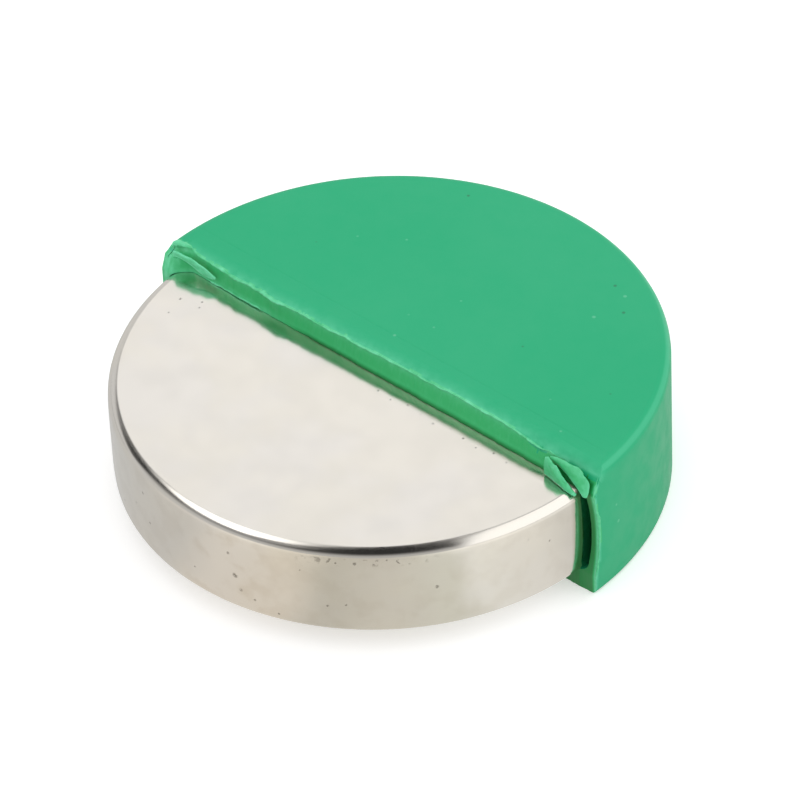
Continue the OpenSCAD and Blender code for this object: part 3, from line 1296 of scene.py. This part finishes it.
@dataclass(frozen=True)
class Strip:
    """A thin torn strip between two edges.

    Attributes:
        name: Name of the piece.
        upper: Four control points of its upper edge, in millimetres.
        lower: Four control points of its lower edge.
        thickness: Its thickness.
        bow: How far it arches between the edges.
        white: How far it is whitened, from 0 to 1.
    """

    name: str
    upper: tuple[Place, ...]
    lower: tuple[Place, ...]
    thickness: float
    bow: float
    white: float

    @staticmethod
    def bend(points: tuple[Place, ...], t: float) -> Vector:
        """Point on a curve.

        Args:
            points: The curve's four control points.
            t: Share of the way from the first to the last.

        Returns:
            The point.
        """
        a, b, c, d = (Vector(point) for point in points)
        s = 1.0 - t
        return s * s * s * a + 3 * s * s * t * b + 3 * s * t * t * c + t * t * t * d

    def surface(self, u: float, v: float) -> Vector:
        """Point of the strip's middle surface.

        Args:
            u: Share of the way along the edges.
            v: Share of the way from the lower to the upper edge.

        Returns:
            The point.
        """
        low, high = self.bend(self.lower, u), self.bend(self.upper, u)
        along = self.bend(self.upper, min(1.0, u + 0.02)) - self.bend(self.upper, max(0.0, u - 0.02))
        normal = along.cross(high - low).normalized()
        ragged = 0.16 * rough(6.0 * u, 2.0 * v, 5.0) + 0.08 * rough(17.0 * u, 4.0 * v, 1.0)
        arch = self.bow * (1.0 - abs(2.0 * v - 1.0)) + 0.05 * rough(4.0 * u, 5.0 * v, 8.0)
        return low.lerp(high, v + ragged * v * (1.0 - u * 0.5)) + normal * arch

    def level(self, u: float, v: float) -> float:
        """How far the strip is whitened: most at its edges and its far end.

        Args:
            u: Share of the way along the edges.
            v: Share of the way from the lower to the upper edge.

        Returns:
            The level.
        """
        # The lower edge is whitened; on the shaving this paler lower edge is also painted light on its shaded
        # underside.
        bent = max(v**3, (1.0 - v) ** 4, u**4)
        return max(0.0, self.white * min(1.0, 0.35 + 0.65 * bent + 0.3 * rough(7.0 * u, 4.0 * v, 2.0)))

    def build(self, material: bpy.types.Material) -> bpy.types.Object:
        """Model the strip.

        Args:
            material: Its finish.

        Returns:
            The finished piece.
        """
        Bench.clear()
        bpy.ops.mesh.primitive_grid_add(x_subdivisions=36, y_subdivisions=10, size=1.0)
        strip = Bench.named(self.name)
        grid = [(vertex.co.x + 0.5, vertex.co.y + 0.5) for vertex in strip.data.vertices]
        for vertex, (u, v) in zip(strip.data.vertices, grid):
            vertex.co = self.surface(u, v)
        Bench.whiten_and_shade(strip, [self.level(u, v) for u, v in grid])
        Bench.pick(strip)
        thick = strip.modifiers.new("Thickness", "SOLIDIFY")
        thick.thickness = self.thickness
        thick.offset = 0.0
        bpy.ops.object.modifier_apply(modifier=thick.name)
        soft = strip.modifiers.new("Soft", "SUBSURF")
        soft.levels = soft.render_levels = 1
        bpy.ops.object.modifier_apply(modifier=soft.name)
        strip.data.materials.append(material)
        Bench.finish(strip, 60.0)
        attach(strip, BODY)
        return strip


@dataclass(frozen=True)
class Ridge:
    """A burr of half-round section that follows a path.

    Attributes:
        name: Name of the piece.
        path: Gives the point of the path at a share of its length.
        across: Direction across the burr.
        out: Direction in which it stands out.
        width: Gives its width at a share of the length, in millimetres.
        height: Gives its height at a share of the length, in millimetres.
        cuts: Cuts along the path, and again between these.
        white: How far it is whitened, from 0 to 1.
    """

    name: str
    path: Callable[[float], Vector]
    across: Vector
    out: Vector
    width: Callable[[float], float]
    height: Callable[[float], float]
    cuts: tuple[int, ...]
    white: float

    def build(self, material: bpy.types.Material) -> bpy.types.Object:
        """Model the burr.

        Args:
            material: Its finish.

        Returns:
            The finished piece.
        """
        Bench.clear()
        bpy.ops.mesh.primitive_cylinder_add(
            vertices=12, radius=1.0, depth=1.0, rotation=(0.0, math.pi / 2, 0.0)
        )
        ridge = Bench.named(self.name)
        bpy.ops.object.transform_apply(rotation=True)
        for cuts in self.cuts:
            with Bench.editing(ridge):
                Bench.select_edges(ridge, lambda a, b: abs(a.x - b.x) > 1e-4)
                bpy.ops.mesh.subdivide(number_cuts=cuts)
        levels = []
        for vertex in ridge.data.vertices:
            t = min(1.0, max(0.0, vertex.co.x + 0.5))
            spine = self.path(t)
            lumps = rough(*(spine * 1.7)) + 0.45 * rough(*(spine * 6.0))
            ends = min(1.0, 0.08 + 10.0 * t, 0.08 + 10.0 * (1.0 - t))
            size = ends * (1.0 + 0.4 * lumps)
            shift = 0.02 * rough(*(spine * 5.0 + Vector((0.0, 0.0, 3.0))))
            aside = shift + 0.5 * self.width(t) * size * vertex.co.y
            vertex.co = spine + self.across * aside + self.out * (self.height(t) * size * vertex.co.z)
            levels.append(min(1.0, max(0.0, self.white * (0.8 + 0.5 * lumps))))
        Bench.whiten_and_shade(ridge, levels)
        Bench.face_out(ridge)
        ridge.data.materials.append(material)
        Bench.finish(ridge, 70.0)
        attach(ridge, BODY)
        return ridge


@dataclass
class CutBurrs:
    """Lips, shaving and torn flaps that the knife left along the cut.

    Attributes:
        coat: The coat that they stand on.
        material: Finish of all of them.
        lip_height: Height of the lip above the coat.
        lip_width: Width of the lip.
        lip_ends: How far the lip stops before the left and the right end of the cut.
        lip_lumps: Where the lip is thickest, along X, and the width of each thick place.
        burr_ends: Where the thin burr at the foot of the cut starts and ends, along X.
        corner_points: Path of the burr on the left corner.
        end_lip: How far the lip at the right end stands out from the wall.
    """

    coat: CutCoat
    material: bpy.types.Material
    lip_height: float = 0.06
    lip_width: float = 0.29
    lip_ends: Pair = (0.5, 1.4)
    lip_lumps: tuple[Pair, ...] = ((-9.6, 0.8), (-7.0, 0.9))
    burr_ends: Pair = (-11.0, -7.4)
    corner_points: tuple[Place, ...] = (
        (-13.3, -0.4, 7.2), (-13.15, -0.3, 7.47), (-12.7, -0.2, 7.42), (-12.1, -0.1, 7.38),
    )
    end_lip: float = 0.08

    def build(self) -> list[bpy.types.Object]:
        """Model all the burrs.

        Returns:
            The finished pieces.
        """
        makers = (
            self.top_lip, self.low_burr, self.left_burr, self.wall_lip, self.shaving, self.flap, self.hanging
        )
        return [maker().build(self.material) for maker in makers]

    def top_lip(self) -> Ridge:
        """The lip along the top edge of the cut, largest where the knife dragged.

        Returns:
            The lip, ready to build.
        """
        knife = self.coat.knife
        start, end = self.lip_ends[0] - knife.disc_radius, knife.disc_radius - self.lip_ends[1]

        def size(t: float) -> float:
            """Size of the lip at a share of its length.

            Args:
                t: The share.

            Returns:
                Its size, about 1.
            """
            lumps = sum(0.5 * bell(start + (end - start) * t, *lump) for lump in self.lip_lumps)
            return 0.8 + lumps - 0.15 * t

        return Ridge(
            "top_lip",
            path=lambda t: knife.edge(start + (end - start) * t) + Vector((0.0, 0.01, -0.03)),
            across=Vector((0.0, -1.0, 0.35)).normalized(),
            out=Vector((0.0, -0.35, -1.0)).normalized(),
            width=lambda t: self.lip_width * size(t),
            height=lambda t: self.lip_height * size(t),
            cuts=(99, 3),
            white=0.8,
        )

    def low_burr(self) -> Ridge:
        """The thin burr along the foot of the cut at the left.

        Returns:
            The burr, ready to build.
        """
        knife = self.coat.knife
        start, end = self.burr_ends
        foot = knife.roof_base + 0.05

        def path(t: float) -> Vector:
            """Point along the foot of the cut.

            Args:
                t: Share of the burr's length.

            Returns:
                The point.
            """
            x = start + (end - start) * t
            return Vector((x, knife.along(x, foot) - 0.01, foot + 0.05 * t))

        return Ridge(
            "low_burr",
            path=path,
            across=Vector((0.0, 0.0, 1.0)),
            out=Vector((0.0, -1.0, 0.0)),
            width=lambda t: 0.13 - 0.05 * t,
            height=lambda t: 0.04,
            cuts=(80,),
            white=1.0,
        )

    def left_burr(self) -> Ridge:
        """The burr on the left corner.

        Returns:
            The burr, ready to build.
        """
        return Ridge(
            "left_burr",
            path=lambda t: Strip.bend(self.corner_points, t),
            across=Vector((0.3, -1.0, 0.0)).normalized(),
            out=Vector((0.0, 0.0, 1.0)),
            width=lambda t: 0.14 + 0.16 * math.sin(math.pi * t),
            height=lambda t: 0.04 + 0.09 * math.sin(math.pi * t**0.7),
            cuts=(60,),
            white=0.8,
        )

    def wall_lip(self) -> Ridge:
        """The lip along the outer edge of the right end of the wall.

        Returns:
            The lip, ready to build.
        """
        coat, knife = self.coat, self.coat.knife
        foot, head = 0.6, knife.top - 0.4

        def path(t: float) -> Vector:
            """Point along the wall's outer edge.

            Args:
                t: Share of the lip's length.

            Returns:
                The point.
            """
            z = foot + (head - foot) * t
            out = coat.swell * math.sin(math.pi * min(1.0, t + 0.04)) ** 0.7
            return Vector((coat.right - 0.07 + out, knife.along(coat.right - 0.1, z) + 0.02, z))

        return Ridge(
            "wall_lip",
            path=path,
            across=Vector((0.2, -1.0, 0.0)).normalized(),
            out=Vector((1.0, 0.2, 0.0)).normalized(),
            width=lambda t: 0.1 + 0.03 * math.sin(math.pi * t),
            height=lambda t: 0.035 + self.end_lip * (0.2 * math.sin(math.pi * t) + 0.8 * bell(t, 0.62, 0.06)),
            cuts=(99,),
            white=0.7,
        )

    def shaving(self) -> Strip:
        """The shaving at the left end of the cut.

        Returns:
            The shaving, ready to build.
        """
        return Strip(
            "left_shaving",
            upper=((-12.95, -0.66, 7.2), (-12.1, -0.56, 7.24), (-11.0, -0.56, 7.2), (-10.3, -0.5, 6.72)),
            lower=((-12.95, -0.72, 6.86), (-12.0, -0.6, 7.18), (-11.15, -0.58, 6.25), (-10.3, -0.5, 6.68)),
            thickness=0.08,
            bow=0.02,
            # Whitened, and made paler still as painted light on its shaded underside, so that its reflection
            # in the plating stays pale.
            white=1.2,
        )

    def flap(self) -> Strip:
        """The torn flap that leans out over the disc at the right end.

        Returns:
            The flap, ready to build.
        """
        return Strip(
            "torn_flap",
            upper=((10.85, -0.42, 7.08), (11.5, -0.5, 7.2), (12.2, -0.75, 6.6), (12.98, -0.76, 6.1)),
            lower=((10.9, -0.6, 6.15), (11.8, -0.75, 6.15), (12.5, -0.93, 6.15), (13.02, -0.88, 6.1)),
            thickness=0.09,
            bow=0.08,
            white=0.7,
        )

    def hanging(self) -> Strip:
        """The flap that hangs from the corner in front of the slit.

        Returns:
            The flap, ready to build.
        """
        right = self.coat.right
        return Strip(
            "hanging_flap",
            upper=((10.95, -0.2, 7.0), (12.6, -0.1, 7.38), (right, -0.2, 7.15), (right - 0.22, -0.6, 6.1)),
            lower=((11.0, -0.22, 6.8), (11.9, -0.3, 6.75), (12.6, -0.5, 6.5), (right - 0.4, -0.62, 6.08)),
            thickness=0.1,
            bow=0.09,
            white=0.6,
        )


class Room(Nodes):
    """The world round the object, white where the camera sees it."""

    def __init__(self) -> None:
        """Start an empty world and make it the scene's."""
        world = bpy.data.worlds.new("room")
        bpy.context.scene.world = world
        world.use_nodes = True
        super().__init__(world.node_tree)
        self.tree.nodes.clear()
        self.ray = self.add("ShaderNodeTexCoord").outputs["Generated"]

    def facing(self, aim: Vector) -> bpy.types.NodeSocket:
        """Cosine of the angle between a ray and a direction."""
        return self.dot(self.ray, aim.normalized())

    def panel(self, corners: list[Vector], blur: float) -> bpy.types.NodeSocket:
        """A flat panel of light.

        Args:
            corners: Directions to its corners, in order.
            blur: Softness of its edges.

        Returns:
            1 where a ray meets the panel and 0 elsewhere.
        """
        middle = sum((corner.normalized() for corner in corners), Vector())
        inside: bpy.types.NodeSocket | float = 1.0
        for first, second in zip(corners, corners[1:] + corners[:1]):
            border = first.cross(second).normalized()
            border *= math.copysign(1.0, border.dot(middle))
            inside = self.times(inside, self.stretch(self.facing(border), -blur, blur))
        return inside

    def shine(self, gloss: bpy.types.NodeSocket, soft: bpy.types.NodeSocket) -> None:
        """Light the scene: white for the camera, gloss for reflections and soft for the rest.

        Args:
            gloss: What a glossy ray meets.
            soft: What any other ray meets.
        """
        path = self.add("ShaderNodeLightPath")
        glossy, seen = path.outputs["Is Glossy Ray"], path.outputs["Is Camera Ray"]
        light = self.plus(self.times(glossy, gloss), self.times(self.rest(glossy), soft))
        light = self.plus(seen, self.times(self.rest(seen), light))
        background = self.add("ShaderNodeBackground")
        self.put(background.inputs["Color"], (1.0, 1.0, 1.0))
        self.put(background.inputs["Strength"], light)
        output = self.add("ShaderNodeOutputWorld")
        self.link(background.outputs[0], output.inputs["Surface"])


@dataclass(frozen=True)
class Panel:
    """A panel of light that gloss reflects.

    Attributes:
        corners: Its corners on a ceiling one unit up, to the camera's left and ahead of it.
        blur: Softness of its edges.
        level: How bright it is.
    """

    corners: tuple[Pair, ...]
    blur: float
    level: float


@dataclass(frozen=True)
class Studio:
    """Pale floor, even white light, and the camera at the photograph's angle.

    Attributes:
        azimuth: Camera's turn about the vertical, in degrees.
        elevation: Its height above the horizon, in degrees.
        roll: Its roll, in degrees.
        distance: Its distance from the frame's origin, in millimetres.
        pan: How far it is moved to its left and down, in millimetres.
        focal_px: Focal length in pixels of the photograph.
        floor_side: Side of the floor in metres.
        floor_matt: How much of the light the floor sends back to the object.
        floor_seen: How much of it the camera sees.
        floor_lift: Light that the floor gives off towards the camera, so that it stays white.
        fill_light: Even light from all round.
        key_light: Extra light from the right.
        wall_light: Level of the walls that gloss reflects.
        wall_back: How much brighter they are behind the object.
        dim_walls: Angles to the right of the camera between which they are dark, in degrees.
        dim_share: How dark they are there.
        tone_reach: Distances from the axis at which the floor's near tones end and far tones begin.
        floor_tones: What gloss sees on the floor, by the angle to the right of the camera, in degrees.
        far_tones: The same farther from the object.
        panels: The panels of light that gloss reflects.
    """

    azimuth: float = 44.175
    elevation: float = 40.324
    roll: float = -2.818
    distance: float = 273.743
    pan: Pair = (-0.717, -3.268)
    focal_px: float = 5682.6
    floor_side: float = 4.0
    floor_matt: float = 0.82
    floor_seen: float = 0.92
    floor_lift: float = 0.34
    fill_light: float = 0.93
    key_light: float = 0.2
    wall_light: float = 0.58
    wall_back: float = 0.1
    dim_walls: Pair = (-148.0, -115.0)
    dim_share: float = 0.9
    tone_reach: Pair = (13.5, 31.0)
    floor_tones: tuple[tuple[float, Colour], ...] = (
        (-90.0, (0.60, 0.60, 0.59)), (-62.0, (0.62, 0.61, 0.59)), (-45.0, (0.76, 0.72, 0.66)),
        (-30.0, (0.77, 0.72, 0.64)), (-15.0, (0.60, 0.58, 0.52)), (0.0, (0.68, 0.66, 0.60)),
        (15.0, (0.71, 0.71, 0.64)), (25.0, (0.86, 0.86, 0.82)), (38.0, (0.82, 0.81, 0.77)),
        (55.0, (0.66, 0.65, 0.62)),
    )
    far_tones: tuple[tuple[float, Colour], ...] = (
        (-90.0, (0.64, 0.64, 0.63)), (-68.0, (0.74, 0.72, 0.70)), (-45.0, (0.93, 0.90, 0.84)),
        (-30.0, (0.84, 0.80, 0.72)), (-15.0, (0.60, 0.58, 0.52)), (0.0, (0.64, 0.62, 0.57)),
        (15.0, (0.80, 0.80, 0.74)), (25.0, (1.05, 1.04, 1.0)), (38.0, (1.08, 1.07, 1.03)),
        (55.0, (0.95, 0.95, 0.92)),
    )
    panels: tuple[Panel, ...] = (
        Panel(((-0.17, 0.95), (0.15, 0.95), (0.26, 1.56), (-0.29, 1.56)), 0.07, 1.07),
        Panel(((-6.0, 1.22), (6.0, 1.22), (40.0, 200.0), (-40.0, 200.0)), 0.05, 0.68),
        Panel(
            (
                (0.04, 0.97), (0.10, 0.55), (0.19, 0.19), (0.36, -0.12), (0.86, -0.36),
                (1.02, -0.16), (0.90, 0.32), (0.46, 0.70), (0.16, 0.99),
            ),
            0.03,
            1.7,
        ),
        Panel(((0.3, 0.3), (0.35, -0.4), (0.8, -0.85), (1.5, -0.9), (1.6, -0.1), (1.0, 0.25)), 0.06, 0.34),
        Panel(
            (
                (-0.05, 0.88), (-0.14, 0.37), (-0.22, 0.0), (-0.27, -0.16), (-0.42, -0.56), (-0.7, -1.2),
                (-13.0, -25.0), (-28.0, -5.0), (-28.0, 3.0), (-1.0, 0.92),
            ),
            0.03,
            1.25,
        ),
    )

    def camera(self) -> None:
        """Place the camera and make it the scene's."""
        elevation, roll = math.radians(self.elevation), math.radians(self.roll)
        level = self.sideways(90.0)
        back = self.sideways(0.0) * math.cos(elevation) + Vector((0.0, 0.0, math.sin(elevation)))
        upright = back.cross(level)
        right = math.cos(roll) * level + math.sin(roll) * upright
        up = math.cos(roll) * upright - math.sin(roll) * level
        data = bpy.data.cameras.new("camera")
        data.sensor_width = SENSOR_MM
        data.lens = self.focal_px / PHOTO_SIDE * SENSOR_MM
        data.clip_start, data.clip_end = 0.01, 10.0
        camera = bpy.data.objects.new("camera", data)
        bpy.context.scene.collection.objects.link(camera)
        place = (self.distance * back - self.pan[0] * right - self.pan[1] * up) * MM
        turn = Matrix((right, up, back)).transposed().to_4x4()
        camera.matrix_world = Matrix.Translation(place) @ turn
        bpy.context.scene.camera = camera

    def floor(self) -> None:
        """Lay the white floor, which keeps the object's shadow."""
        Bench.clear()
        bpy.ops.mesh.primitive_plane_add(size=self.floor_side)
        floor = Bench.named("floor")
        shader = Shader("floor")
        path = shader.add("ShaderNodeLightPath")
        seen, mirrored = path.outputs["Is Camera Ray"], path.outputs["Is Glossy Ray"]
        matt = shader.blend(seen, (self.floor_matt,) * 3, (self.floor_seen,) * 3)
        shader.feed(
            Roughness=0.9,
            Specular_IOR_Level=0.0,
            Base_Color=shader.blend(mirrored, matt, (0.0, 0.0, 0.0)),
            Emission_Color=shader.blend(mirrored, (1.0, 1.0, 1.0), self.tones(shader)),
            Emission_Strength=shader.plus(shader.times(seen, self.floor_lift), mirrored),
        )
        floor.data.materials.append(shader.material)

    def tones(self, shader: Shader) -> bpy.types.NodeSocket:
        """Colour of the floor by its angle from the camera.

        Args:
            shader: The floor's material.

        Returns:
            The colour's socket.
        """
        parts = [shader.dot(shader.place, self.sideways(deg)) for deg in (0.0, 90.0)]
        turn = shader.math("ARCTAN2", parts[1], parts[0])
        wobble = shader.times(shader.math("SUBTRACT", shader.grain(0.25, 3.0), 0.5), 0.2)
        share = shader.plus(shader.times(shader.plus(turn, wobble), 1.0 / math.pi), 0.5)
        colours = []
        for tones in (self.floor_tones, self.far_tones):
            ramp = shader.add("ShaderNodeValToRGB")
            ramp.color_ramp.interpolation = "EASE"
            stops = ramp.color_ramp.elements
            stops.remove(stops[1])
            for index, (deg, tone) in enumerate(tones):
                stop = stops[0] if index == 0 else stops.new(deg / 180.0 + 0.5)
                stop.position = deg / 180.0 + 0.5
                stop.color = (*tone, 1.0)
            shader.link(share, ramp.inputs["Fac"])
            colours.append(ramp.outputs["Color"])
        near, far = (reach * MM for reach in self.tone_reach)
        return shader.blend(shader.stretch(shader.length(*parts), near, far), *colours)

    def sideways(self, deg: float) -> Vector:
        """Level direction that lies deg to the right of the way to the camera."""
        turn = math.radians(self.azimuth + deg)
        return Vector((math.sin(turn), -math.cos(turn), 0.0))

    def ceiling(self, left: float, ahead: float) -> Vector:
        """Direction to a point of a ceiling one unit up, to the camera's left and ahead of it."""
        return self.sideways(-90.0) * left + self.sideways(180.0) * ahead + Vector((0.0, 0.0, 1.0))

    def light(self) -> None:
        """Build the room: soft light for matt surfaces, and walls and panels that gloss reflects."""
        room = Room()
        up = room.facing(Vector((0.0, 0.0, 1.0)))
        behind = room.facing(self.sideways(180.0))
        low = room.rest(room.stretch(up, 0.2, 0.8))
        walls = room.times(low, room.plus(self.wall_light, room.times(behind, self.wall_back)))
        left, right = self.dim_walls
        before = room.stretch(room.facing(self.sideways(right - 90.0)), -0.05, 0.06)
        past = room.stretch(room.facing(self.sideways(left + 90.0)), 0.0, 0.12)
        dark = room.times(before, past)
        dark = room.times(room.times(dark, room.stretch(up, 0.02, 0.2)), self.dim_share)
        shown = room.plus(room.times(walls, room.rest(dark)), 0.02)
        for panel in self.panels:
            rays = [self.ceiling(*corner) for corner in panel.corners]
            shown = room.math("MAXIMUM", shown, room.times(room.panel(rays, panel.blur), panel.level))
        key = room.stretch(room.facing(self.sideways(70.0) + Vector((0.0, 0.0, 0.5))), -0.3, 1.0)
        room.shine(shown, room.plus(self.fill_light, room.times(key, self.key_light)))

    def build(self) -> None:
        """Set up the whole studio."""
        bpy.context.scene.view_settings.view_transform = "Standard"
        self.camera()
        self.floor()
        self.light()


def main() -> None:
    """Build the studio and every piece, and report each piece."""
    logging.basicConfig(level=logging.INFO, format="%(name)s: %(message)s")
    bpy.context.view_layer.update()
    Studio().build()
    disc = PlatedDisc().build()
    maker = CutCoat(KnifeCut())
    coat = maker.build()
    burrs = CutBurrs(maker, coat.data.materials[1]).build()
    for piece in (disc, coat, *burrs):
        LOG.info("%s: %d faces", piece.name, len(piece.data.polygons))


if __name__ == "__main__":
    main()
